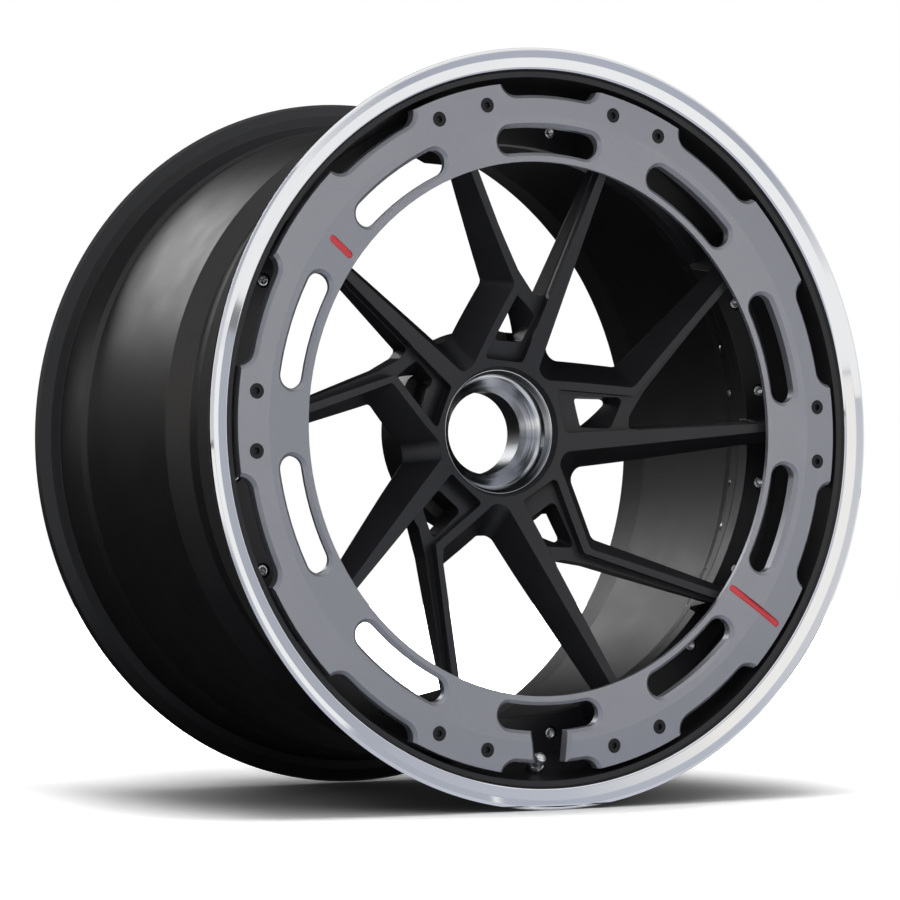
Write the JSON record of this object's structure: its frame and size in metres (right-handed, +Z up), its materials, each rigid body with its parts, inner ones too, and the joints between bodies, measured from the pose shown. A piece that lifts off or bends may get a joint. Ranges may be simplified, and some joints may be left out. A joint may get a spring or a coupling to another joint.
{
  "type": "forged wheel",
  "caption": "Three-piece forged car wheel with a polished stepped lip, dished black kinked spokes, a slotted grey ring plate and a centre-lock hub seat.",
  "frame": {"origin": "middle of the wheel: on the axle line, half way between the front and rear rim edges", "axes": "+Y along the axle, inboard, so the show face looks along -Y; +Z up, with the tyre valve at the bottom; +X to the right seen from the front"},
  "size_m": [0.5684, 0.335, 0.5684],
  "materials": {
    "polished_lip": "mirror polished",
    "black_barrel": "satin black coat",
    "black_centre": "satin black coat",
    "grey_ring": "satin grey coat",
    "black_screws": "black oxide",
    "bright_fasteners": "bright plated",
    "machined_insert": "fine turned",
    "steel_bush": "ground",
    "seal_rubber": "matte",
    "valve_metal": "bright plated",
    "red_enamel": "gloss enamel"
  },
  "bodies": {
    "root": {"outer_lip": "polished_lip", "inner_barrel": "black_barrel", "rim_seal": "seal_rubber", "centre_disc": "black_centre", "aero_ring": "grey_ring", "ring_screws": "black_screws", "assembly_bolts": "bright_fasteners", "assembly_nuts": "bright_fasteners", "rear_bolts": "bright_fasteners", "hub_insert": "machined_insert", "drive_bushes": "steel_bush", "valve_grommet": "seal_rubber", "valve_stem": "valve_metal", "valve_nut": "valve_metal", "valve_cap": "valve_metal", "red_mark_short": "red_enamel", "red_mark_long": "red_enamel"}
  },
  "joints": []
}
